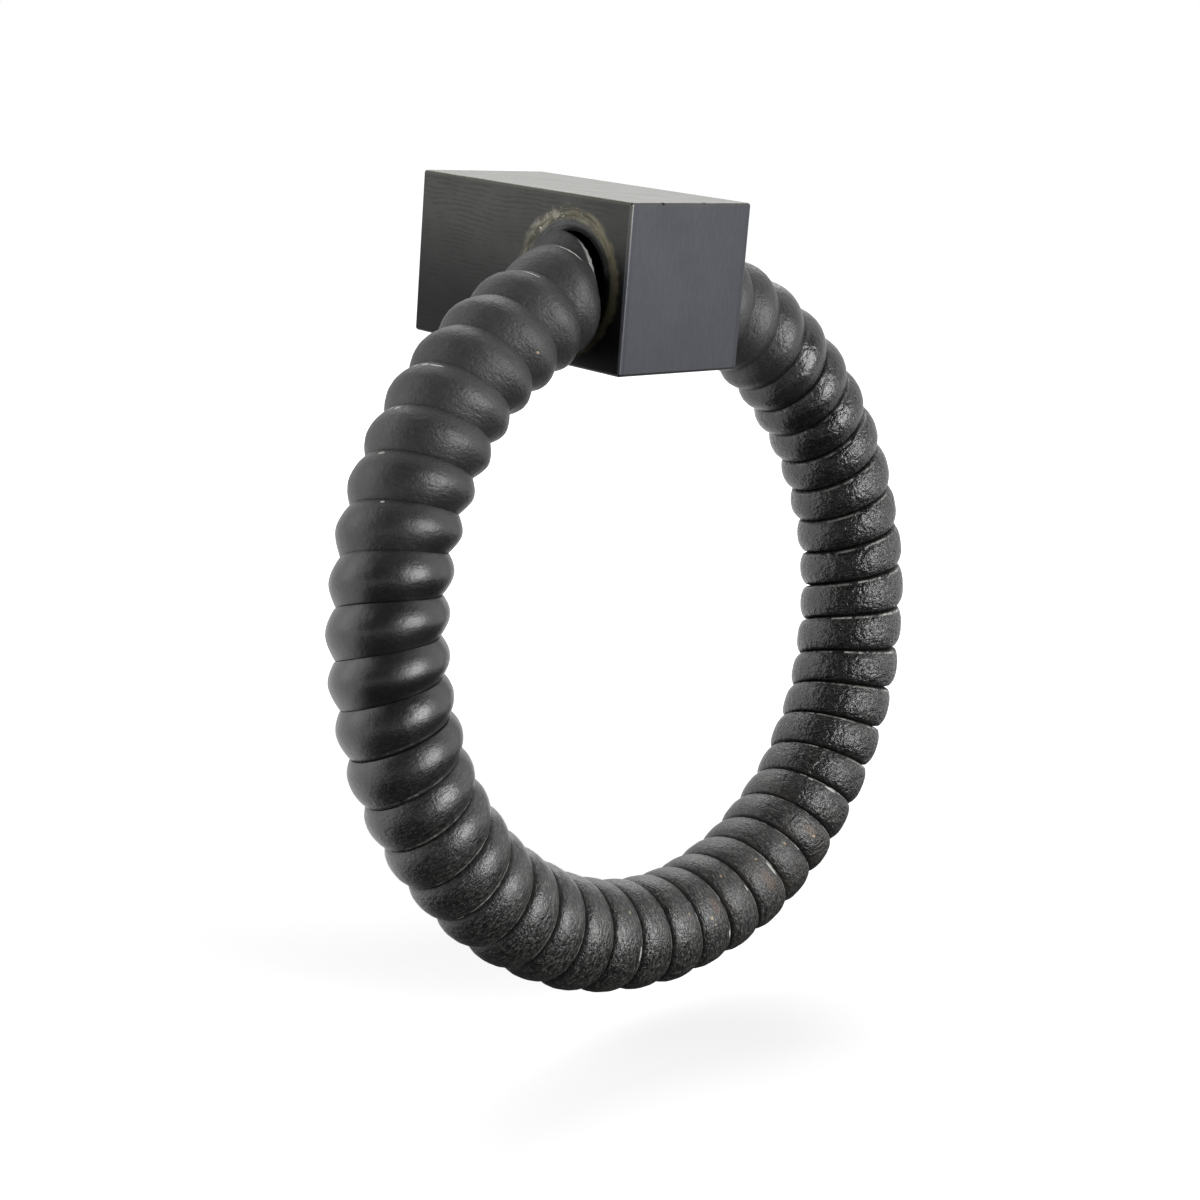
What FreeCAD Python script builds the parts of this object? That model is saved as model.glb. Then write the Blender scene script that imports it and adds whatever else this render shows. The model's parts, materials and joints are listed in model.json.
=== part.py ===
# Ring pull for a drawer or cabinet door.
# A square metal block stands out from the drawer front. A metal ring, wound all the way round with a leather
# strip, passes loosely through a cross bore near the block's front end and swings in it.
# Frame: the origin is the middle of the block's back face, on the fixing hole. +Z is up, +Y points into the
# drawer front and the block reaches towards -Y. Lengths are in millimetres, angles in degrees.
import FreeCAD, Part
import math
import os

Vector = FreeCAD.Vector

# The block
BLOCK_WIDTH = 25.4
BLOCK_HEIGHT = 25.4
BLOCK_DEPTH = 47.2
EDGE_ROUND = 0.5

# The cross bore that carries the ring
BORE_SETBACK = 12.3        # the bore's axis behind the block's front face
BORE_PLAY = 2.25           # room left round the rod as it swings
SEAT_GAP = 0.3             # room left under the rod, which hangs on the bore's floor
RING_FORWARD = 0.8         # how far in front of the bore's axis the rod hangs
DISH_WIDTH = 2.0           # the shallow dish round each mouth of the bore
DISH_DEPTH = 0.5
MOUTH_ROUND = 0.6          # rounds the step from the bore to the dish

# The tapped hole for the machine screw that comes through the drawer front
FIXING_HOLE_DIAMETER = 5.0
FIXING_HOLE_DEPTH = 15.0
DRILL_POINT_ANGLE = 118.0

# The ring's metal rod
RING_DIAMETER = 100.6      # across the rod's centreline
ROD_DIAMETER = 8.0
RING_SWING = 9.7           # how far forward of plumb the ring stands

# The leather winding
STRIP_PITCH = 6.45         # from one turn to the next, along the rod's centreline
CROWN_THICKNESS = 4.7      # leather over the rod at the middle of a turn
GROOVE_THICKNESS = 3.6     # leather over the rod in the groove between two turns
CROWN_FULLNESS = 2.4       # 2 is a plain arch, and more is flatter on top and steeper at the grooves
GROOVE_START = 0.66        # where the grooves lie at the ring's lowest point, as a share of a turn
WINDING_GAP = 0.3          # between each end of the winding and the block's side
END_ROUND = 2.2            # how far each end of the winding is rounded over
END_THICKNESS = 0.5        # leather left at the very end, as a share of the turn's thickness
STRIP_FIT = 0.02           # between the rod and the leather

# How finely the ring is faceted
FACETS_AROUND_ROD = 18
FACETS_ALONG_ROD = 60
FACETS_PER_TURN = 4
END_STEPS = (0.0, 0.15, 0.45, 1.0)     # where the rounded end has its points, as shares of END_ROUND

# Values that follow from those
RING_RADIUS = RING_DIAMETER / 2
ROD_RADIUS = ROD_DIAMETER / 2
HALF_WIDTH = BLOCK_WIDTH / 2
ARC_RISE = RING_RADIUS - math.sqrt(RING_RADIUS ** 2 - HALF_WIDTH ** 2)
BORE_RADIUS = ROD_RADIUS + ARC_RISE / 2 + BORE_PLAY
BORE_Y = BORE_SETBACK - BLOCK_DEPTH
PIVOT = Vector(0, BORE_Y - RING_FORWARD, SEAT_GAP - BORE_PLAY)
TURN_ANGLE = STRIP_PITCH / RING_RADIUS
WINDING_END = HALF_WIDTH + WINDING_GAP
X_AXIS = Vector(1, 0, 0)
SAME_PLACE = 1e-6
FIRST = -1000              # orders that come before and after every turn of the strip
LAST = 1000
SOLVER_STEPS = 12


def fixing_hole():
    """The drilled hole's volume: the straight hole and its drill point."""
    radius = FIXING_HOLE_DIAMETER / 2
    into_block = Vector(0, -1, 0)
    point_length = radius / math.tan(math.radians(DRILL_POINT_ANGLE / 2))
    straight = Part.makeCylinder(radius, FIXING_HOLE_DEPTH, Vector(0, 0, 0), into_block)
    point = Part.makeCone(radius, 0, point_length, Vector(0, -FIXING_HOLE_DEPTH, 0), into_block)
    return straight.fuse(point)


def half_bore_profile():
    """Half of the cross bore's profile, from the block's middle to its +X side, as (x, radius) points.

    The bore, the arc that rounds it into the dish, the dish, and the side face.
    """
    step = (HALF_WIDTH - DISH_DEPTH, BORE_RADIUS)
    slope = math.atan2(DISH_WIDTH, DISH_DEPTH)
    reach = MOUTH_ROUND * math.tan(slope / 2)
    bore_end = (step[0] - reach, BORE_RADIUS)
    dish_start = (step[0] + reach * math.cos(slope), BORE_RADIUS + reach * math.sin(slope))
    middle = (bore_end[0] + MOUTH_ROUND * math.sin(slope / 2),
              BORE_RADIUS + MOUTH_ROUND * (1 - math.cos(slope / 2)))
    return bore_end, middle, dish_start, (HALF_WIDTH, BORE_RADIUS + DISH_WIDTH)


def cross_bore():
    """The cross bore's volume with its two mouths, turned from a profile."""
    bore_end, middle, dish_start, dish_end = half_bore_profile()

    def at(point, side):
        return Vector(side * point[0], BORE_Y, point[1])

    edges = [Part.makeLine(at(bore_end, -1), at(bore_end, 1))]
    for side in (1, -1):
        edges.append(Part.Arc(at(bore_end, side), at(middle, side), at(dish_start, side)).toShape())
        edges.append(Part.makeLine(at(dish_start, side), at(dish_end, side)))
        edges.append(Part.makeLine(at(dish_end, side), at((HALF_WIDTH, 0), side)))
    edges.append(Part.makeLine(at((HALF_WIDTH, 0), -1), at((HALF_WIDTH, 0), 1)))
    profile = Part.Face(Part.Wire(Part.__sortEdges__(edges)))
    return profile.revolve(Vector(0, BORE_Y, 0), X_AXIS, 360)


def make_mounting_block():
    corner = Vector(-HALF_WIDTH, -BLOCK_DEPTH, -BLOCK_HEIGHT / 2)
    block = Part.makeBox(BLOCK_WIDTH, BLOCK_DEPTH, BLOCK_HEIGHT, corner)
    block = block.makeFillet(EDGE_ROUND, block.Edges)
    return block.cut([cross_bore(), fixing_hole()])


def ring_point(along, around, radius):
    """A point beside the ring's centreline, measured from the pivot.

    along is the angle round the ring from its top towards +X, and around is the angle round the rod from
    the ring's outside towards +Y.
    """
    reach = RING_RADIUS + radius * math.cos(around)
    height = reach * math.cos(along) - RING_RADIUS + ARC_RISE / 2
    return Vector(reach * math.sin(along), radius * math.sin(around), height)


def turns_wound(along, around):
    """How many turns of the strip lie before a point, so that a groove is at each whole number."""
    return (along - math.pi) / TURN_ANGLE + around / (2 * math.pi) + GROOVE_START


def along_at(turns, around):
    """The angle round the ring of a point on the strip, the inverse of turns_wound."""
    return math.pi + (turns - around / (2 * math.pi) - GROOVE_START) * TURN_ANGLE


def leather_radius(along, around, inset=END_ROUND):
    """The winding's outer radius. inset is the distance in from the winding's end, along X."""
    across = 2 * (turns_wound(along, around) % 1) - 1
    arch = 1 - abs(across) ** CROWN_FULLNESS
    thickness = GROOVE_THICKNESS + (CROWN_THICKNESS - GROOVE_THICKNESS) * arch
    short = 1 - min(inset / END_ROUND, 1)
    rounding = END_THICKNESS + (1 - END_THICKNESS) * math.sqrt(1 - short ** 2)
    return ROD_RADIUS + thickness * rounding


def along_near_end(x, around, radius_at):
    """The angle round the ring, on the +X side of its top, where the surface crosses the plane at x."""
    along = math.asin(x / RING_RADIUS)
    for _ in range(SOLVER_STEPS):
        along = math.asin(x / (RING_RADIUS + radius_at(along) * math.cos(around)))
    return along


def end_rows(around, side):
    """(angle round the ring, radius) at each step over the rounded end of the winding on one side."""
    row = []
    for share in END_STEPS:
        inset = share * END_ROUND

        def radius_at(along):
            return leather_radius(side * along, around, inset)

        along = along_near_end(WINDING_END + inset, around, radius_at)
        row.append((side * along, radius_at(along)))
    return row


def outer_row(around):
    """(order, point) along the winding's outside, at one angle round the rod."""
    first = end_rows(around, 1)
    last = end_rows(around, -1)
    row = [(FIRST + step, ring_point(a, around, r)) for step, (a, r) in enumerate(first)]
    start = math.ceil(turns_wound(first[-1][0], around) * FACETS_PER_TURN)
    stop = math.floor(turns_wound(2 * math.pi + last[-1][0], around) * FACETS_PER_TURN)
    for count in range(start, stop + 1):
        turns = count / FACETS_PER_TURN
        along = along_at(turns, around)
        point = ring_point(along, around, leather_radius(along, around))
        if abs(point.x) > WINDING_END + END_ROUND or point.z < -RING_RADIUS:
            row.append((turns, point))
    ends = [(LAST - step, ring_point(a, around, r)) for step, (a, r) in enumerate(last)]
    return row + ends[::-1]


def inner_row(around):
    """(order, point) along the winding's inside, which lies on the rod."""
    radius = ROD_RADIUS + STRIP_FIT
    step = 2 * math.pi / FACETS_ALONG_ROD
    end = along_near_end(WINDING_END, around, lambda along: radius)
    row = [(FIRST, ring_point(end, around, radius))]
    for count in range(FACETS_ALONG_ROD):
        if end < count * step < 2 * math.pi - end:
            row.append((count, ring_point(count * step, around, radius)))
    return row + [(LAST, ring_point(-end, around, radius))]


def stitch(row, beside):
    """Triangles between two rows of (order, point), taking their points in order."""
    triangles = []
    i = j = 0
    while i < len(row) - 1 or j < len(beside) - 1:
        row_is_next = j == len(beside) - 1 or (i < len(row) - 1 and row[i + 1][0] <= beside[j + 1][0])
        if row_is_next:
            triangles.append((row[i][1], row[i + 1][1], beside[j][1]))
            i += 1
        else:
            triangles.append((row[i][1], beside[j + 1][1], beside[j][1]))
            j += 1
    return triangles


def solid_of(triangles):
    """One closed solid from triangles that share their corners."""
    numbers = {}
    points = []
    facets = []
    for triangle in triangles:
        facet = []
        for point in triangle:
            key = (round(point.x, 6), round(point.y, 6), round(point.z, 6))
            if key not in numbers:
                numbers[key] = len(points)
                points.append(point)
            facet.append(numbers[key])
        if len(set(facet)) == 3:
            facets.append(tuple(facet))
    shell = Part.Shape()
    shell.makeShapeFromMesh((points, facets), SAME_PLACE)
    solid = Part.makeSolid(shell)
    if solid.Volume < 0:
        solid.reverse()
    return solid


def hang(shape):
    """Swings a shape that was made round the pivot forward, and sets it on the pivot."""
    swung = shape.copy()
    swung.rotate(Vector(0, 0, 0), X_AXIS, -RING_SWING)
    swung.translate(PIVOT)
    return swung


def angles_round_rod():
    return [2 * math.pi * count / FACETS_AROUND_ROD for count in range(FACETS_AROUND_ROD + 1)]


def make_ring_core():
    step = 2 * math.pi / FACETS_ALONG_ROD
    rows = [
        [(count, ring_point(count * step, around, ROD_RADIUS)) for count in range(FACETS_ALONG_ROD + 1)]
        for around in angles_round_rod()
    ]
    triangles = []
    for row, beside in zip(rows, rows[1:]):
        triangles += stitch(row, beside)
    return hang(solid_of(triangles))


def make_leather_wrap():
    outer = [outer_row(around) for around in angles_round_rod()]
    inner = [inner_row(around) for around in angles_round_rod()]
    triangles = []
    for row, beside in zip(outer, outer[1:]):
        triangles += stitch(row, beside)
    for row, beside in zip(inner, inner[1:]):
        triangles += stitch(beside, row)
    for end in (0, -1):
        for count in range(FACETS_AROUND_ROD):
            near = [(0, inner[count][end][1]), (1, outer[count][end][1])]
            far = [(0, inner[count + 1][end][1]), (1, outer[count + 1][end][1])]
            triangles += stitch(near, far) if end == 0 else stitch(far, near)
    return hang(solid_of(triangles))


PARTS = {
    "mounting_block": make_mounting_block,
    "ring_core": make_ring_core,
    "leather_wrap": make_leather_wrap,
}

os.makedirs("parts", exist_ok=True)
for name, make in PARTS.items():
    shape = make()
    shape.exportStep(f"parts/{name}.step")
    box = shape.BoundBox
    print(name, "valid", shape.isValid(), "solids", len(shape.Solids), "faces", len(shape.Faces),
          "volume", round(shape.Volume), "box", [round(v, 2) for v in (
              box.XMin, box.YMin, box.ZMin, box.XMax, box.YMax, box.ZMax)])
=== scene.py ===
import json
import math

import bmesh
import bpy
from mathutils import Matrix, Vector


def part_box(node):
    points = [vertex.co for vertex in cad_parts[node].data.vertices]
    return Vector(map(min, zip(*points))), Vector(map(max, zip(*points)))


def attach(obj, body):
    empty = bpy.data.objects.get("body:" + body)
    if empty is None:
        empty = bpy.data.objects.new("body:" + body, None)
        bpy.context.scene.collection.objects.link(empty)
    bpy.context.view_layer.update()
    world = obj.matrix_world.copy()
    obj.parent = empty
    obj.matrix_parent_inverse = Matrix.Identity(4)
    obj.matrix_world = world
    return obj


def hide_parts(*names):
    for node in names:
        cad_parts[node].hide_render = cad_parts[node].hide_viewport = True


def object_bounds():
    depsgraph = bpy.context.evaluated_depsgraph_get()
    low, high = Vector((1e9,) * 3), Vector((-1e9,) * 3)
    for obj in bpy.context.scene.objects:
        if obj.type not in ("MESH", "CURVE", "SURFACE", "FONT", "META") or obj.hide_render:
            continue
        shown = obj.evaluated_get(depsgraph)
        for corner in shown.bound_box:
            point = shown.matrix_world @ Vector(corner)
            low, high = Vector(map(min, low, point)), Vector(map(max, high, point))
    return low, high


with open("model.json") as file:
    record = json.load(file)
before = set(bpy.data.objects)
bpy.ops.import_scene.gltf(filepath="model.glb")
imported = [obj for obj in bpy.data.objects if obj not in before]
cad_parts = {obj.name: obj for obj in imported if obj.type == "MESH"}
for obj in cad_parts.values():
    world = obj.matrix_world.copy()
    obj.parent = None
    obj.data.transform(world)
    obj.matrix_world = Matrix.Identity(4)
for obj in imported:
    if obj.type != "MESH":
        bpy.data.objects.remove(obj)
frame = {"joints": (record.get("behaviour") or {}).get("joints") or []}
cad_low, cad_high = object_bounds()

MM = 0.001

# The block, from the frame
block_low, block_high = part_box("mounting_block")
HALF_WIDTH = block_high.x
HALF_HEIGHT = block_high.z
EDGE_ROUND = 0.5 * MM

# The cross bore and its mouths
BORE_SETBACK = 12.3 * MM
BORE_RADIUS = 7.065 * MM
BORE_CENTRE = Vector((0, block_low.y + BORE_SETBACK, 0))
DISH_WIDTH = 2.0 * MM
DISH_DEPTH = 0.5 * MM
MOUTH_ROUND = 0.6 * MM

# The band that the ring has rubbed bare round each mouth
BAND_CENTRE = Vector((0, block_low.y + 12.4 * MM, -0.2 * MM))
BAND_INSIDE = 9.1 * MM
BAND_OUTSIDE = 10.8 * MM

# The tapped hole in the back, for an M6 screw
THREAD_CREST_RADIUS = 2.5 * MM
THREAD_ROOT_RADIUS = 3.05 * MM
THREAD_PITCH = 1.0 * MM
THREAD_TURNS = 14
THREAD_START = 0.2 * MM
HOLE_DEPTH = 15.0 * MM
DRILL_POINT = 1.5 * MM

# The ring
pivot = Vector(frame["joints"][0]["pos_m"])
RING_RADIUS = 50.3 * MM
ROD_RADIUS = 4.0 * MM
RING_SWING = math.radians(9.7)
ARC_RISE = RING_RADIUS - math.sqrt(RING_RADIUS ** 2 - HALF_WIDTH ** 2)
RING_MIDDLE = pivot + Matrix.Rotation(-RING_SWING, 3, "X") @ Vector((0, 0, ARC_RISE / 2 - RING_RADIUS))

# The leather strip that is wound on it
STRIP_PITCH = 6.45 * MM
TURN_ANGLE = STRIP_PITCH / RING_RADIUS
GROOVE_START = 0.66
CROWN_RADIUS = ROD_RADIUS + 4.7 * MM
UNDERSIDE_RADIUS = ROD_RADIUS + 0.05 * MM
TURN_LENGTH = 2 * math.pi * CROWN_RADIUS
STEPS_PER_TURN = 40
ACROSS_STRIP = 18

# How its turns differ round the ring: crisp at the lower right, soft at the upper left
CRISP_AT = math.radians(150)
SOFT_VALLEY = 1.25 * MM        # how deep the groove between two turns is
CRISP_VALLEY_LESS = 0.3 * MM
SOFT_FULLNESS = 1.8            # 2 is a plain arch, and more is flatter on top
CRISP_FULLNESS_MORE = 1.0
SOFT_WAVE = 0.1                # share of a plain wave in a soft turn's arch
LEAN = 0.10
SLIT_START = 0.93              # where the sharp slit starts, across the strip
CRISP_SLIT_SOONER = 0.05
SOFT_SLIT = 0.02 * MM
CRISP_SLIT_MORE = 0.83 * MM
LIP = 0.10 * MM                # how far one edge stands over its neighbour
LIP_AT = math.radians(130)
GROOVE_WANDER = 0.03
CROWN_WANDER = 0.12 * MM

# The winding's two ends, beside the block
WINDING_END = HALF_WIDTH + 0.3 * MM
END_ROUND = 2.2 * MM
LEFT_END_ROUND = 0.8 * MM
END_THICKNESS = 0.5
RAISED_END = 2.0 * MM
RAISED_LENGTH = 7 * MM
RAISED_AT = math.radians(10)
THINNED_END = 1.2 * MM
THINNED_LENGTH = 5 * MM
TRIM_REACH = 12 * MM
TRIM_PAST_MIDDLE = 3 * MM
SAME_PLACE = 0.001 * MM

# The photograph's camera, fitted to the block's corners and the ring's outline
CAMERA_PLACE = Vector((-0.238684, -0.274492, 0.037090))
CAMERA_FORWARD = Vector((0.68226, 0.68637, -0.25184))
CAMERA_UP = Vector((0.11982, 0.23484, 0.96462))
LENS = 66.271
SENSOR = 36

# The floor, with the part of it before the ring that reflections see as dark
FLOOR_HEIGHT = cad_low.z - 6 * MM
FLOOR_SIZE = 12
DARK_PATCH = Vector((-0.12, -0.20, 0))

# Lamps: name, place, the point that it faces, width, height and brightness
SOFTBOXES = (
    ("key_softbox", (0.17, -1.21, 0.26), (0, -0.03, -0.04), 0.72, 0.72, 8.0),
    ("overhead_softbox", (0.36, 0.40, 0.42), (0, -0.03, -0.02), 0.60, 0.40, 2.6),
    ("left_softbox", (-0.50, 0.22, 0.16), (0, -0.03, -0.04), 0.50, 0.50, 1.1),
)


def deselect_all():
    if bpy.context.object and bpy.context.object.mode != "OBJECT":
        bpy.ops.object.mode_set(mode="OBJECT")
    bpy.ops.object.select_all(action="DESELECT")


def pick(piece):
    deselect_all()
    piece.select_set(True)
    bpy.context.view_layer.objects.active = piece


def named(piece, name):
    piece.name = name
    piece.data.name = name
    return piece


def settle(piece):
    """Puts a piece's place, turn and size into its mesh, so that its object sits at the origin."""
    pick(piece)
    bpy.ops.object.transform_apply(location=True, rotation=True, scale=True)
    return piece


def apply_modifier(piece, kind, **settings):
    modifier = piece.modifiers.new(kind.title(), kind)
    for key, value in settings.items():
        setattr(modifier, key, value)
    pick(piece)
    bpy.ops.object.modifier_apply(modifier=modifier.name)


def select_faces(piece, test):
    """In edit mode, with only the faces selected whose centre and normal pass the test."""
    pick(piece)
    bpy.ops.object.mode_set(mode="EDIT")
    bpy.ops.mesh.select_mode(type="FACE")
    bpy.ops.mesh.select_all(action="DESELECT")
    mesh = bmesh.from_edit_mesh(piece.data)
    for face in mesh.faces:
        face.select = test(face.calc_center_median(), face.normal)
    mesh.select_flush_mode()
    bmesh.update_edit_mesh(piece.data)


def flare_end(piece, side, centre, steps):
    """Extrudes the end cap at -X or +X through (distance out, radius) steps, as on a lathe."""
    reach, radius = steps[0]

    def is_cap(place, normal):
        return normal.x * side > 0.9 and abs(place.x * side - reach) < 1e-5

    for out, new_radius in steps[1:]:
        select_faces(piece, is_cap)
        bpy.ops.mesh.extrude_region_move(TRANSFORM_OT_translate={"value": (side * (out - reach), 0, 0)})
        scale = new_radius / radius
        bpy.ops.transform.resize(value=(1, scale, scale), center_override=(side * out, centre.y, centre.z))
        bpy.ops.object.mode_set(mode="OBJECT")
        reach, radius = out, new_radius


def mouth_steps():
    """(x, radius) from the straight bore's end, over the rounded lip and the dish, to outside the face."""
    slope = math.atan2(DISH_WIDTH, DISH_DEPTH)
    step_x = HALF_WIDTH - DISH_DEPTH
    tangent = MOUTH_ROUND * math.tan(slope / 2)
    steps = []
    round_steps = 6
    for count in range(round_steps + 1):
        turn = slope * count / round_steps
        steps.append((step_x - tangent + MOUTH_ROUND * math.sin(turn),
                      BORE_RADIUS + MOUTH_ROUND * (1 - math.cos(turn))))
    beyond = 0.3 * MM
    steps.append((HALF_WIDTH + beyond, BORE_RADIUS + DISH_WIDTH * (1 + beyond / DISH_DEPTH)))
    return steps


def make_bore_cutter():
    steps = mouth_steps()
    bpy.ops.mesh.primitive_cylinder_add(
        vertices=128, radius=BORE_RADIUS, depth=2 * steps[0][0], location=BORE_CENTRE,
        rotation=(0, math.radians(90), 0))
    cutter = settle(bpy.context.object)
    for side in (-1, 1):
        flare_end(cutter, side, BORE_CENTRE, steps)
    return cutter


def make_hole_cutter():
    """The screw hole, wide enough for the thread's roots, with its drill point."""
    outside = 1.0 * MM
    overlap = 0.05 * MM
    bpy.ops.mesh.primitive_cylinder_add(
        vertices=64, radius=THREAD_ROOT_RADIUS - overlap, depth=HOLE_DEPTH + outside,
        location=(0, (outside - HOLE_DEPTH) / 2, 0), rotation=(math.radians(90), 0, 0))
    cutter = settle(bpy.context.object)
    select_faces(cutter, lambda place, normal: normal.y < -0.9)
    bpy.ops.mesh.extrude_region_move(TRANSFORM_OT_translate={"value": (0, -DRILL_POINT, 0)})
    bpy.ops.transform.resize(value=(0.01, 1, 0.01), center_override=(0, -HOLE_DEPTH - DRILL_POINT, 0))
    bpy.ops.object.mode_set(mode="OBJECT")
    return cutter


def make_block():
    size = block_high - block_low
    bpy.ops.mesh.primitive_cube_add(size=1, location=(block_low + block_high) / 2, scale=size)
    block = named(settle(bpy.context.object), "block")
    apply_modifier(block, "BEVEL", width=EDGE_ROUND, segments=6, limit_method="NONE")
    for cutter in (make_bore_cutter(), make_hole_cutter()):
        apply_modifier(block, "BOOLEAN", operation="DIFFERENCE", solver="EXACT", object=cutter)
        bpy.data.objects.remove(cutter)
    pick(block)
    bpy.ops.object.shade_smooth_by_angle(angle=math.radians(35))
    apply_modifier(block, "WEIGHTED_NORMAL", keep_sharp=True)
    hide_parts("mounting_block")
    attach(block, "block")
    return block


def make_thread():
    """The screw thread's ridges: one ridge's outline, turned up the hole's wall and cut off at its mouth."""
    bpy.ops.mesh.primitive_grid_add(x_subdivisions=2, y_subdivisions=1, size=1)
    thread = named(bpy.context.object, "fixing_thread")
    pick(thread)
    bpy.ops.object.mode_set(mode="EDIT")
    bpy.ops.mesh.select_mode(type="VERT")
    bpy.ops.mesh.select_all(action="DESELECT")
    mesh = bmesh.from_edit_mesh(thread.data)
    for vertex in mesh.verts:
        vertex.select = vertex.co.y > 0
    mesh.select_flush_mode()
    bmesh.update_edit_mesh(thread.data)
    bpy.ops.mesh.delete(type="VERT")
    bpy.ops.object.mode_set(mode="OBJECT")
    for vertex in thread.data.vertices:
        crest = abs(vertex.co.x) < 0.25
        radius = THREAD_CREST_RADIUS if crest else THREAD_ROOT_RADIUS
        vertex.co = (radius, 0, (vertex.co.x + 0.5) * THREAD_PITCH)
    apply_modifier(thread, "SCREW", axis="Z", screw_offset=THREAD_PITCH, iterations=THREAD_TURNS,
                   steps=32, render_steps=32, use_merge_vertices=True)
    thread.location = (0, THREAD_PITCH, 0)
    thread.rotation_euler = (math.radians(90), 0, 0)
    settle(thread)
    pick(thread)
    bpy.ops.object.mode_set(mode="EDIT")
    bpy.ops.mesh.select_all(action="SELECT")
    bpy.ops.mesh.bisect(
        plane_co=(0, -THREAD_START, 0), plane_no=(0, 1, 0), clear_outer=True, threshold=SAME_PLACE)
    bpy.ops.mesh.select_all(action="SELECT")
    bpy.ops.mesh.remove_doubles(threshold=SAME_PLACE)
    bpy.ops.object.mode_set(mode="OBJECT")
    bpy.ops.object.shade_smooth_by_angle(angle=math.radians(30))
    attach(thread, "block")
    return thread


def hang(piece):
    """Swings a piece that was made round the pivot forward, and sets it on the pivot."""
    piece.data.transform(Matrix.Translation(pivot) @ Matrix.Rotation(-RING_SWING, 4, "X"))


def ring_point(along, around, radius):
    """A point beside the ring's centreline, measured from the pivot with the ring plumb.

    along is the angle round the ring from its top towards +X, and around is the angle round the rod from the
    ring's outside towards +Y.
    """
    reach = RING_RADIUS + radius * math.cos(around)
    height = reach * math.cos(along) - RING_RADIUS + ARC_RISE / 2
    return Vector((reach * math.sin(along), radius * math.sin(around), height))


def make_rod():
    bpy.ops.mesh.primitive_torus_add(
        major_radius=RING_RADIUS, minor_radius=ROD_RADIUS, major_segments=240, minor_segments=32,
        location=(0, 0, ARC_RISE / 2 - RING_RADIUS), rotation=(math.radians(90), 0, 0))
    rod = named(settle(bpy.context.object), "rod")
    hang(rod)
    pick(rod)
    bpy.ops.object.shade_smooth()
    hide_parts("ring_core")
    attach(rod, "ring")
    return rod


def wander(turn, seed):
    """A slow, repeatable wandering between -1 and 1 along the strip, for what a hand leaves uneven."""
    waves = ((1.93, 1.0), (0.71, 2.3), (3.31, 4.1))
    return sum(math.sin(turn * pace + seed * shift) for pace, shift in waves) / len(waves)


def strip_rim():
    """The strip's section as (place across from -1 to 1, 0 on top or 1 underneath), in one closed loop."""
    top = []
    for count in range(ACROSS_STRIP + 1):
        even = -1 + 2 * count / ACROSS_STRIP
        top.append((math.copysign(1 - (1 - abs(even)) ** 1.6, even), 0))
    return top + [(0.8, 1), (0, 1), (-0.8, 1), top[0]]


def crispness(along):
    """1 at the ring's lower right, where turns are flat with sharp grooves, to 0 at its soft upper left."""
    return max(0, min(0.5 + 0.9 * math.cos(along - CRISP_AT), 1))


def strip_point(turn, across, sunk):
    """A point of the strip, from the pivot with the ring plumb.

    turn counts from the ring's bottom towards +X, across goes from -1 to 1, and sunk is 1 on the underside.
    """
    edge = turn - across / 2
    along = math.pi + (0.5 - GROOVE_START - edge + GROOVE_WANDER * wander(edge * 2.1, 5.0)) * TURN_ANGLE
    around = 2 * math.pi * turn
    crisp = crispness(along)
    valley = SOFT_VALLEY - CRISP_VALLEY_LESS * crisp
    lean = LEAN * across * (1 - across ** 2)
    lip = LIP * across * math.cos(along - LIP_AT)
    slit_start = SLIT_START - CRISP_SLIT_SOONER * crisp
    tuck = max(0, (abs(across) - slit_start) / (1 - slit_start))
    wave_dip = 0.5 - 0.5 * math.cos(math.pi * across)
    full_dip = abs(across) ** (SOFT_FULLNESS + CRISP_FULLNESS_MORE * crisp)
    dip = full_dip + (wave_dip - full_dip) * SOFT_WAVE * (1 - crisp) - lean
    top = CROWN_RADIUS + CROWN_WANDER * wander(turn * 1.3, 2.0) - lip
    top -= valley * dip + (SOFT_SLIT + CRISP_SLIT_MORE * crisp ** 2) * tuck ** 2

    # The winding stops square beside the block. On the left its last turn stands up towards the mouth's top.
    left = along > math.pi
    past_end = RING_RADIUS
    if math.cos(along) > 0:
        past_end = abs((RING_RADIUS + top * math.cos(around)) * math.sin(along)) - WINDING_END
    if left:
        top += RAISED_END * max(0, 1 - past_end / RAISED_LENGTH) * max(0, math.cos(around - RAISED_AT))
        top -= THINNED_END * max(0, 1 - past_end / THINNED_LENGTH) * max(0, -math.sin(around))
    end_round = LEFT_END_ROUND if left else END_ROUND
    short = 1 - max(0, min(past_end / end_round, 1))
    top = ROD_RADIUS + (top - ROD_RADIUS) * (END_THICKNESS + (1 - END_THICKNESS) * math.sqrt(1 - short ** 2))
    return ring_point(along, around, top + (UNDERSIDE_RADIUS - top) * sunk)


def trim_strip(strip, side):
    """Cuts the strip off square just outside one side of the block."""
    bpy.ops.mesh.select_mode(type="VERT")
    bpy.ops.mesh.select_all(action="DESELECT")
    mesh = bmesh.from_edit_mesh(strip.data)
    for vertex in mesh.verts:
        reach = side * vertex.co.x
        near_end = -TRIM_PAST_MIDDLE < reach < WINDING_END + TRIM_REACH
        vertex.select = vertex.co.z > -RING_RADIUS / 2 and near_end
    mesh.select_flush_mode()
    bmesh.update_edit_mesh(strip.data)
    bpy.ops.mesh.bisect(
        plane_co=(side * WINDING_END, 0, 0), plane_no=(-side, 0, 0), clear_outer=True, use_fill=True,
        threshold=SAME_PLACE)


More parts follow.
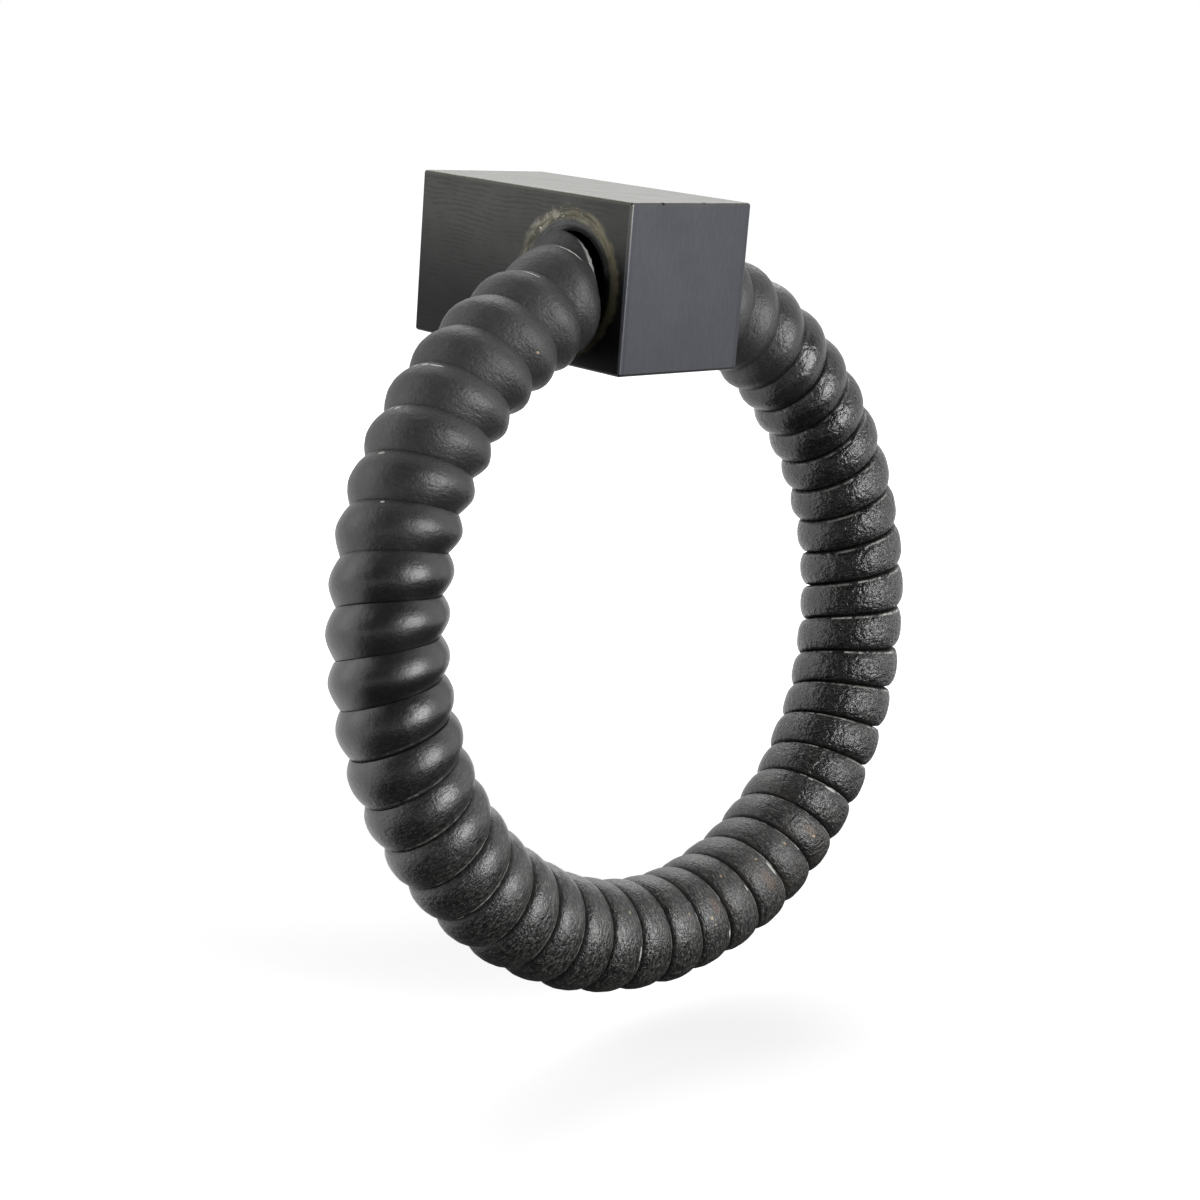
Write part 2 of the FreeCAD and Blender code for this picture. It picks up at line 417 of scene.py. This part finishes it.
def make_strip():
    rim = strip_rim()
    turns = 2 * math.ceil((math.pi - math.asin(HALF_WIDTH / RING_RADIUS)) / TURN_ANGLE + 1)
    bpy.ops.mesh.primitive_grid_add(
        x_subdivisions=turns * STEPS_PER_TURN, y_subdivisions=len(rim) - 1, size=1)
    strip = named(bpy.context.object, "wound_strip")
    places = []
    for vertex in strip.data.vertices:
        turn = vertex.co.x * turns
        across, sunk = rim[round((vertex.co.y + 0.5) * (len(rim) - 1))]
        places.append((turn, across))
        vertex.co = strip_point(turn, across, sunk)
    layer = strip.data.uv_layers[0]
    layer.name = "Strip"
    for loop in strip.data.loops:
        layer.data[loop.index].uv = places[loop.vertex_index]
    pick(strip)
    bpy.ops.object.mode_set(mode="EDIT")
    bpy.ops.mesh.select_all(action="SELECT")
    bpy.ops.mesh.remove_doubles(threshold=2 * SAME_PLACE)
    for side in (-1, 1):
        trim_strip(strip, side)
    bpy.ops.mesh.select_all(action="SELECT")
    bpy.ops.mesh.normals_make_consistent(inside=False)
    bpy.ops.object.mode_set(mode="OBJECT")
    hang(strip)
    bpy.ops.object.shade_smooth_by_angle(angle=math.radians(60))
    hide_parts("leather_wrap")
    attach(strip, "ring")
    return strip


class Socket:
    """A shader socket that takes part in Python sums: each operator adds a Math node."""

    def __init__(self, shader, link):
        self.shader = shader
        self.link = link

    def math(self, operation, first, second=0.0):
        return self.shader.node("ShaderNodeMath", {"operation": operation}, {0: first, 1: second})

    def __add__(self, other):
        return self.math("ADD", self, other)

    def __sub__(self, other):
        return self.math("SUBTRACT", self, other)

    def __rsub__(self, other):
        return self.math("SUBTRACT", other, self)

    def __mul__(self, other):
        return self.math("MULTIPLY", self, other)

    def __truediv__(self, other):
        return self.math("DIVIDE", self, other)

    def __pow__(self, other):
        return self.math("POWER", self, other)

    def __abs__(self):
        return self.math("ABSOLUTE", self)

    __radd__ = __add__
    __rmul__ = __mul__

    def largest(self, other):
        return self.math("MAXIMUM", self, other)

    def smallest(self, other):
        return self.math("MINIMUM", self, other)

    def sine(self):
        return self.math("SINE", self)

    def rise(self, low, high):
        """0 below low, 1 above high and smooth in between."""
        return self.shader.node("ShaderNodeMapRange", {"interpolation_type": "SMOOTHSTEP"},
                                {"Value": self, "From Min": low, "From Max": high})

    def fall(self, low, high):
        """1 below low, 0 above high and smooth in between."""
        return 1 - self.rise(low, high)

    def within(self, low, high, soft):
        """1 between low and high, with soft edges."""
        return self.rise(low - soft, low + soft) * self.fall(high - soft, high + soft)


class Finish:
    """A material or world under construction."""

    def __init__(self, owner):
        owner.use_nodes = True
        self.owner = owner
        self.tree = owner.node_tree
        self.tree.nodes.clear()

    def node(self, kind, settings=None, inputs=None, output=0):
        """Any node: its settings are set first, then the values or links of its sockets."""
        made = self.tree.nodes.new(kind)
        for key, value in (settings or {}).items():
            setattr(made, key, value)
        for key, value in (inputs or {}).items():
            if isinstance(value, Socket):
                self.tree.links.new(value.link, made.inputs[key])
            else:
                made.inputs[key].default_value = value
        return Socket(self, made.outputs[output])

    def split(self, vector):
        """The three parts of a vector."""
        parts = self.node("ShaderNodeSeparateXYZ", inputs={0: vector})
        return [Socket(self, output) for output in parts.link.node.outputs]

    def join(self, x, y, z):
        return self.node("ShaderNodeCombineXYZ", inputs={0: x, 1: y, 2: z})

    def noise(self, vector, scale, detail=3.0, roughness=0.5, distortion=0.0):
        """Cloudy noise from about 0.3 to 0.7, with scale features to a metre."""
        return self.node("ShaderNodeTexNoise", inputs={
            "Vector": vector, "Scale": scale, "Detail": detail, "Roughness": roughness,
            "Distortion": distortion})

    def cells(self, vector, scale):
        """The distance to the nearest of many scattered points."""
        return self.node("ShaderNodeTexVoronoi", inputs={"Vector": vector, "Scale": scale})

    def distance(self, place, point):
        return self.node("ShaderNodeVectorMath", {"operation": "DISTANCE"}, {0: place, 1: point}, 1)

    def dot(self, first, second):
        return self.node("ShaderNodeVectorMath", {"operation": "DOT_PRODUCT"}, {0: first, 1: second}, 1)

    def place(self):
        """The object's own coordinates, in metres."""
        return self.node("ShaderNodeTexCoord", output=3)

    def camera_and_glossy_rays(self):
        """1 for what the camera sees, and 1 for what shows in reflections."""
        outputs = self.node("ShaderNodeLightPath").link.node.outputs
        return Socket(self, outputs["Is Camera Ray"]), Socket(self, outputs["Is Glossy Ray"])

    def blend(self, factor, first, second):
        """A colour between two colours."""
        colours = {6: first, 7: second}
        inputs = {key: value if isinstance(value, Socket) else (*value, 1) for key, value in colours.items()}
        return self.node("ShaderNodeMix", {"data_type": "RGBA"}, {0: factor, **inputs}, output=2)

    def bump(self, height, distance, under=None):
        inputs = {"Height": height, "Distance": distance, "Strength": 1.0}
        if under:
            inputs["Normal"] = under
        return self.node("ShaderNodeBump", inputs=inputs)

    def surface(self, **inputs):
        """Closes a material with its one surface shader."""
        sockets = {key.replace("_", " "): value for key, value in inputs.items()}
        shader = self.node("ShaderNodeBsdfPrincipled", inputs=sockets)
        self.close(shader, "ShaderNodeOutputMaterial")
        return self.owner

    def close(self, shader, kind):
        end = self.tree.nodes.new(kind)
        self.tree.links.new(shader.link, end.inputs["Surface"])


def rgb(red, green, blue):
    """A colour written as in a picture, from 0 to 255, as the shader's linear values."""
    return tuple((part / 255 / 12.92) if part < 10.3 else ((part / 255 + 0.055) / 1.055) ** 2.4
                 for part in (red, green, blue))


# Where a mask of one of the block's faces fades, measured in from the face
FACE_FADE = (0.3 * MM, 0.6 * MM)
SIDE_FADE = (0.9 * MM, 1.4 * MM)
LINE_SPACING = 0.75 * MM

# Nicks in the block: place and size in millimetres
BLOCK_NICKS = (((10.0, -32.7, 12.7), 0.45), ((-6.3, -47.2, 12.6), 0.35), ((2.4, -46.9, 12.5), 0.25))


def blackened_brass():
    finish = Finish(bpy.data.materials.new("blackened_brass"))
    place = finish.place()
    x, y, z = finish.split(place)
    clouds = finish.noise(place, 130, 4, 0.6)
    fine = finish.noise(place, 2600, 2, 0.6)

    # How far a point is from the nearest edge of the block, on the face that it lies on
    side_gap = HALF_WIDTH - abs(x)
    top_gap = HALF_HEIGHT - z
    bottom_gap = HALF_HEIGHT + z
    front_gap = y - block_low.y
    level_gap = top_gap.smallest(bottom_gap)
    end_gap = front_gap.smallest(0 - y)
    edge_gap = side_gap.smallest(level_gap).largest(side_gap.largest(level_gap).smallest(end_gap))
    front = front_gap.fall(*FACE_FADE)
    top = top_gap.fall(*FACE_FADE)
    side = side_gap.fall(*SIDE_FADE)

    # The side faces carry long wavy rubbing marks, the front a fine upright grain
    wobble = finish.noise(finish.join(x * 100, y * 90, z * 160), 1.0, 4, 0.62) * 2.6 * MM
    lines = ((z + wobble) * (2 * math.pi / LINE_SPACING)).sine() * 0.5 + 0.5
    broken = finish.noise(finish.join(x * 100, y * 170, z * 330), 1.0, 4, 0.65).rise(0.36, 0.62)
    waves = 0.55 - lines * 0.3 * broken
    upright = finish.noise(finish.join(x * 2200, y * 2200, z * 500), 1.0, 2, 0.6)
    marks = waves + (upright - waves) * front
    skin = finish.blend(clouds.rise(0.3, 0.7), rgb(67, 67, 66), rgb(76, 76, 74))
    skin = finish.blend(marks.rise(0.42, 0.70) * front * 0.25, skin, rgb(108, 108, 106))
    skin = finish.blend(marks.fall(0.25, 0.52) * 0.32, skin, rgb(44, 44, 43))
    # Painted shade: the side faces go darker towards the front and towards the bottom, where the ring shades
    # them.
    skin = finish.blend(side * y.fall(-47 * MM, -28 * MM) * 0.45, skin, rgb(44, 45, 44))
    skin = finish.blend(side * z.fall(-9 * MM, 11 * MM) * 0.85, skin, rgb(30, 31, 31))
    # The front face is painted lighter and bluer than the sides, partly its own finish and partly painted
    # light, and painted shade darkens it towards the bottom.
    skin = finish.blend(front * 0.7, skin, rgb(87, 89, 96))
    skin = finish.blend(front * z.fall(-13 * MM, 2 * MM) * 0.3, skin, rgb(68, 69, 73))
    # Painted light: the top face is painted lighter and warmer, as lit from above.
    skin = finish.blend(top * 0.35, skin, rgb(98, 96, 86))
    # Pale patches along every edge: partly worn brass, partly a painted highlight on the rounded edges.
    rubbed_and_lit_edges = edge_gap.fall(0.05 * MM, 0.30 * MM) * finish.noise(place, 500, 3).rise(0.38, 0.62)
    skin = finish.blend(rubbed_and_lit_edges * 0.35, skin, rgb(150, 148, 140))
    # Along the front's upright edges, painted shade darkens the rounding, and a painted highlight on it
    # fades out downwards.
    upright_edge_shade_and_highlight = front_gap.largest(side_gap).fall(0.18 * MM, 0.42 * MM)
    skin = finish.blend(upright_edge_shade_and_highlight * 0.5, skin, rgb(60, 60, 62))
    skin = finish.blend(upright_edge_shade_and_highlight * z.rise(0.0, 12 * MM) * 0.35, skin, rgb(190, 184, 168))
    # A painted highlight along the front's bottom edge.
    under_edge_highlight = front_gap.largest(bottom_gap).fall(0.15 * MM, 0.4 * MM)
    skin = finish.blend(under_edge_highlight * 0.6, skin, rgb(150, 150, 150))

    # Round each mouth the ring has rubbed the skin off, down to dull brass, in arcs about the bore
    across = y - BAND_CENTRE.y
    above = z - BAND_CENTRE.z
    from_bore = (across ** 2 + above ** 2) ** 0.5
    round_bore = finish.node("ShaderNodeMath", {"operation": "ARCTAN2"}, {0: above, 1: across})
    arcs = finish.noise(finish.join(round_bore * 2.4, from_bore * 2100, x * 200), 1.0, 3, 0.6, 0.4)
    ragged = finish.noise(place, 480, 4, 0.65)
    spread = from_bore + (ragged - 0.5) * 2.2 * MM
    band = spread.within(BAND_INSIDE, BAND_OUTSIDE, 0.6 * MM) * side
    low_band_painted_light = above.fall(-4 * MM, 4 * MM)
    dish = from_bore.fall(BAND_INSIDE - 0.5 * MM, BAND_INSIDE + 0.3 * MM) * side
    brass = finish.blend(arcs.rise(0.3, 0.7), rgb(66, 65, 57), rgb(124, 121, 108))
    # Painted light: the band is painted lighter towards the front and over its lower half, against the shade
    # there.
    brass = finish.blend(across.fall(-9 * MM, 0.0) * 0.6, brass, rgb(120, 115, 95))
    brass = finish.blend(low_band_painted_light * 0.6, brass, rgb(116, 110, 84))
    brass = finish.blend(finish.noise(place, 330, 2).rise(0.55, 0.75) * 0.4, brass, rgb(88, 76, 58))
    skin = finish.blend(band * (0.7 + arcs * 0.5), skin, brass)
    back_end = across.rise(0.5 * MM, 3 * MM) * above.rise(5 * MM, 7.5 * MM)
    scuffs = band * back_end * finish.noise(place, 700, 2).rise(0.45, 0.6)
    skin = finish.blend(scuffs * 0.6, skin, rgb(150, 148, 138))
    glints = band * finish.noise(place, 1700, 3, 0.7).rise(0.60, 0.68)
    glints = glints * (back_end + above.rise(2 * MM, 7 * MM) * 0.25)
    skin = finish.blend(glints * 0.8, skin, rgb(206, 202, 186))
    dish_skin = finish.blend(arcs.rise(0.35, 0.65), rgb(66, 67, 67), rgb(88, 88, 88))
    skin = finish.blend(dish, skin, dish_skin)
    # Painted shade: the inside of the bore is painted dark.
    bore = side_gap.rise(0.4 * MM, 1.2 * MM) * from_bore.fall(7.5 * MM, 7.8 * MM)
    skin = finish.blend(bore, skin, rgb(28, 27, 26))

    # A nick on the top face and chips in its front edge
    nicks = None
    for nick_place, size in BLOCK_NICKS:
        away = finish.distance(place, tuple(part * MM for part in nick_place))
        nick = away.fall(size * 0.6 * MM, size * 1.2 * MM)
        nicks = nicks.largest(nick) if nicks else nick
    skin = finish.blend(nicks * 0.85, skin, rgb(30, 30, 30))

    rough = 0.38 + (clouds - 0.5) * 0.22 + (fine - 0.5) * 0.10 + band * 0.16 - rubbed_and_lit_edges * 0.08
    height = (marks * (0.55 - front * 0.3) + fine * 0.2 + band * ragged * 1.6 + (band + dish) * arcs * 0.8
              - nicks * 6.0)
    return finish.surface(
        Base_Color=skin, Metallic=1.0, Roughness=rough, Normal=finish.bump(height, 0.012 * MM))


def cut_brass():
    """The thread, bright where the tap has cut it."""
    finish = Finish(bpy.data.materials.new("cut_brass"))
    place = finish.place()
    streaks = finish.noise(place, 1500, 3, 0.6)
    colour = finish.blend(streaks.rise(0.3, 0.7), rgb(150, 124, 70), rgb(206, 180, 116))
    return finish.surface(
        Base_Color=colour, Metallic=1.0, Roughness=0.28 + streaks * 0.2,
        Normal=finish.bump(streaks, 0.02 * MM))


def darkened_rod():
    finish = Finish(bpy.data.materials.new("darkened_rod"))
    place = finish.place()
    patches = finish.noise(place, 260, 4, 0.6)
    colour = finish.blend(patches.rise(0.35, 0.65), rgb(58, 55, 52), rgb(84, 78, 70))
    return finish.surface(
        Base_Color=colour, Metallic=1.0, Roughness=0.42 + (patches - 0.5) * 0.3,
        Normal=finish.bump(finish.noise(place, 2200, 2), 0.02 * MM))


# Marks on the strip: turn, place across, then half length and half width in millimetres
# Painted glints in the grooves, drawn as white marks
GROOVE_GLINTS = (
    (5.699, -0.76, 1.3, 0.25), (2.695, -0.71, 1.5, 0.22), (-2.223, -0.74, 1.4, 0.22),
    (5.624, -0.77, 0.5, 0.16), (0.798, -0.76, 0.8, 0.20), (1.692, -0.74, 0.7, 0.14),
    (-17.012, 0.76, 0.6, 0.30), (-16.985, 0.80, 0.3, 0.25), (-17.985, 0.73, 0.8, 0.22),
    (-18.022, 0.73, 0.7, 0.26), (-18.06, 0.71, 1.3, 0.16), (-16.026, 0.78, 0.7, 0.25),
    (-15.077, 0.87, 0.4, 0.15), (-21.075, 0.60, 1.7, 0.13), (-22.075, 0.64, 2.8, 0.14))
TAN_SPECKS = (
    (4.731, 0.05, 0.35, 0.30), (3.671, -0.42, 0.28, 0.22), (1.620, 0.24, 0.28, 0.24),
    (0.718, 0.31, 0.35, 0.28), (0.74, 0.18, 0.2, 0.2), (-20.265, -0.31, 0.28, 0.22),
    (2.642, -0.35, 0.22, 0.2), (-0.317, -0.24, 0.22, 0.2), (-2.342, -0.11, 0.22, 0.2))
BROWN_PATCHES = ((2.716, -0.11, 2.2, 0.9), (4.706, -0.02, 1.8, 0.9), (0.688, -0.24, 1.8, 0.9))


def black_leather():
    finish = Finish(bpy.data.materials.new("black_leather"))
    place = finish.place()
    x, y, z = finish.split(place)
    strip = finish.node("ShaderNodeUVMap", {"uv_map": "Strip"})
    turn, across = finish.split(strip)[:2]
    lengthwise = turn * TURN_LENGTH
    crosswise = across * (STRIP_PITCH / 2)
    on_strip = finish.join(lengthwise, crosswise, 0.0)

    # Where on the ring: the crisp, dry lower right, the soft upper left, the outside
    below = (RING_MIDDLE.z - z) / RING_RADIUS
    rightward = x / RING_RADIUS
    crisp = (rightward * math.sin(CRISP_AT) - below * math.cos(CRISP_AT)).rise(-0.6, 0.6)
    dry = z.fall(-92 * MM, -66 * MM) * x.rise(-8 * MM, 16 * MM)
    right = x.rise(18 * MM, 34 * MM)
    upper = z.rise(-48 * MM, 2 * MM) * (1 - right)
    polished_and_shaded = x.fall(-32 * MM, -8 * MM) * z.fall(-52 * MM, -22 * MM)
    outside = ((rightward ** 2 + below ** 2) ** 0.5).rise(0.92, 1.12)

    patches = finish.noise(place, 140, 4, 0.6)
    pores = finish.cells(on_strip, 3000)
    wrinkles = finish.noise(finish.join(lengthwise * 650, crosswise * 2400, 0.0), 1.0, 3, 0.6, 0.6)
    pebbles = finish.noise(on_strip, 1900, 3, 0.65)
    creases = finish.noise(on_strip, 950, 2, 0.55, 0.6)
    flecks = finish.noise(finish.join(lengthwise * 1200, crosswise * 3400, 0.0), 1.0, 2, 0.6, 0.4)

    def spots(marks):
        """1 on each of the marks, with ragged edges."""
        nearest = None
        for at_turn, at_across, half_length, half_width in marks:
            length_scale = TURN_LENGTH / (half_length * MM)
            width_scale = STRIP_PITCH / 2 / (half_width * MM)
            offset = finish.node("ShaderNodeVectorMath", {"operation": "MULTIPLY_ADD"}, {
                0: strip, 1: (length_scale, width_scale, 0.0),
                2: (-at_turn * length_scale, -at_across * width_scale, 0.0)})
            away = finish.dot(offset, offset)
            nearest = nearest.smallest(away) if nearest else away
        return (nearest * (0.5 + pebbles)).fall(0.55, 1.15)

    colour = finish.blend(patches.rise(0.3, 0.7), rgb(15, 15, 16), rgb(26, 26, 27))
    # Painted shade: the base goes near black on the polished lower left and on the right.
    colour = finish.blend(polished_and_shaded.largest(right) * 0.65, colour, rgb(6, 6, 7))
    # Painted sheen: the upper left is painted lighter grey.
    colour = finish.blend(upper * 0.9, colour, rgb(50, 50, 51))
    grey = crisp * (1 - right * 0.65)
    wrinkled = wrinkles.rise(0.44, 0.64) * (grey * 0.7 + upper * 0.3)
    colour = finish.blend(wrinkled, colour, rgb(74, 74, 72))
    colour = finish.blend(flecks.rise(0.52, 0.63) * 0.6 * grey, colour, rgb(122, 122, 117))
    # Painted shade: the grooves between the turns are painted near black.
    groove = (abs(across) + (patches - 0.5) * 0.25).rise(0.80, 0.93) * (0.08 + crisp * 0.92)
    colour = finish.blend(groove * 0.9, colour, rgb(5, 5, 5))
    brown = dry * finish.noise(place, 210, 3, 0.6).rise(0.5, 0.68)
    colour = finish.blend(brown * 0.4, colour, rgb(72, 64, 54))
    colour = finish.blend(spots(BROWN_PATCHES) * 0.6, colour, rgb(94, 70, 54))
    colour = finish.blend(spots(TAN_SPECKS) * 0.9, colour, rgb(190, 168, 134))

    # The strip's edge is pale along its grooves, partly worn and partly a painted highlight on the lip, and
    # its cut end shows pale in the mouth at the left, partly raw leather and partly a painted highlight
    lip_breaks = finish.noise(on_strip, 300, 3, 0.6).rise(0.42, 0.55)
    lip_wear_and_highlight = across.within(-0.90, -0.80, 0.03) * lip_breaks * crisp
    colour = finish.blend(lip_wear_and_highlight * 0.85, colour, rgb(150, 149, 144))
    # Painted glints: short white dashes along the lip by the grooves.
    split = finish.noise(on_strip, 520, 2, 0.6).rise(0.56, 0.60)
    lip_glints = across.within(-0.90, -0.82, 0.02) * split * crisp
    colour = finish.blend(lip_glints * 0.85, colour, rgb(205, 205, 200))
    # Painted glints: the white marks in the grooves.
    colour = finish.blend(spots(GROOVE_GLINTS) * 0.95, colour, rgb(236, 235, 228))
    # The cut end's pale line is partly raw leather, partly a painted highlight on its rim.
    cut_end_and_highlight = x.within(-14.0 * MM, -12.8 * MM, 0.12 * MM) * y.within(-42.0 * MM, -37.5 * MM, 0.6 * MM)
    cut_end_and_highlight = cut_end_and_highlight * z.within(1.5 * MM, 6.2 * MM, 0.8 * MM)
    colour = finish.blend(cut_end_and_highlight * 0.85, colour, rgb(214, 214, 210))

    rough = (0.38 + (patches - 0.5) * 0.35 + dry * 0.08 - right * 0.09 - (1 - outside) * 0.04
             + (pebbles - 0.5) * 0.15 + upper * 0.2 + groove * 0.3)
    grain = crisp * (0.45 + outside * 0.75) + 0.12 + upper * 0.3
    height = (pores * -0.25 + wrinkles * 0.9 + pebbles * 0.7 + flecks * 0.3
              + creases * (0.5 + right * 1.9)) * grain
    normal = finish.bump(height, 0.24 * MM, finish.bump(patches, 0.3 * MM))
    return finish.surface(
        Base_Color=colour, Roughness=rough, Normal=normal, IOR=1.7,
        Coat_Weight=polished_and_shaded * 0.4, Coat_Roughness=0.33)


def white_floor():
    """A pale floor that the camera and reflections see as the white ground, with part of its shadow kept."""
    finish = Finish(bpy.data.materials.new("white_floor"))
    camera_ray, glossy_ray = finish.camera_and_glossy_rays()
    x, y = finish.split(finish.place())[:2]
    far = ((x ** 2 + y ** 2) ** 0.5).rise(0.07, 0.18)
    behind = (y - x * 0.2).rise(-0.035, 0.01)
    beside = (((x - DARK_PATCH.x) ** 2 + (y - DARK_PATCH.y) ** 2) ** 0.5).rise(0.22, 0.42)
    bright = beside.largest(behind)
    return finish.surface(
        Base_Color=camera_ray * 0.9 + (1 - camera_ray) * (bright * 0.3 + 0.1), Roughness=1.0,
        Specular_IOR_Level=0.0, Emission_Strength=1.0,
        Emission_Color=camera_ray * (0.60 + far * 0.40) + glossy_ray * bright * 0.85)


def studio_world():
    """White where the photograph's ground is, and a dim room behind the camera."""
    world = bpy.data.worlds.new("studio")
    bpy.context.scene.world = world
    finish = Finish(world)
    camera_ray, glossy_ray = finish.camera_and_glossy_rays()
    direction = finish.node("ShaderNodeTexCoord", output=0)
    ground = finish.dot(direction, tuple(CAMERA_FORWARD)).rise(-0.5, 0.0)
    white = finish.node("ShaderNodeBackground", inputs={"Color": (1, 1, 1, 1), "Strength": 1.0})
    room = finish.node("ShaderNodeBackground", inputs={"Color": (0.06, 0.06, 0.06, 1), "Strength": 1.0})
    shown = finish.node("ShaderNodeMixShader", inputs={
        0: camera_ray.largest(glossy_ray * ground), 1: room, 2: white})
    finish.close(shown, "ShaderNodeOutputWorld")


def make_floor():
    bpy.ops.mesh.primitive_plane_add(size=FLOOR_SIZE, location=(0, 0, FLOOR_HEIGHT))
    floor = named(settle(bpy.context.object), "floor")
    dress(floor, white_floor())


def make_softbox(name, place, target, width, height, brightness):
    """A square of even light. brightness is what a camera would read off it, where 1 is white."""
    lamp = bpy.data.lights.new(name, "AREA")
    lamp.shape = "RECTANGLE"
    lamp.size = width
    lamp.size_y = height
    lamp.energy = brightness * math.pi * width * height
    softbox = bpy.data.objects.new(name, lamp)
    bpy.context.scene.collection.objects.link(softbox)
    softbox.location = place
    softbox.rotation_euler = (Vector(target) - Vector(place)).to_track_quat("-Z", "Y").to_euler()
    softbox.visible_camera = False


def make_camera():
    camera = bpy.data.objects.new("camera", bpy.data.cameras.new("camera"))
    bpy.context.scene.collection.objects.link(camera)
    camera.data.lens = LENS
    camera.data.sensor_width = SENSOR
    camera.data.clip_start = 0.01
    camera.data.clip_end = 50
    forward = CAMERA_FORWARD.normalized()
    up = CAMERA_UP.normalized()
    right = forward.cross(up)
    turn = Matrix((right, up, -forward)).transposed().to_4x4()
    camera.matrix_world = Matrix.Translation(CAMERA_PLACE) @ turn
    bpy.context.scene.camera = camera


def dress(piece, finish):
    piece.data.materials.clear()
    piece.data.materials.append(finish)


make_camera()
dress(make_block(), blackened_brass())
dress(make_thread(), cut_brass())
dress(make_rod(), darkened_rod())
dress(make_strip(), black_leather())
make_floor()
studio_world()
for softbox_settings in SOFTBOXES:
    make_softbox(*softbox_settings)

bpy.context.scene.view_settings.view_transform = "Standard"
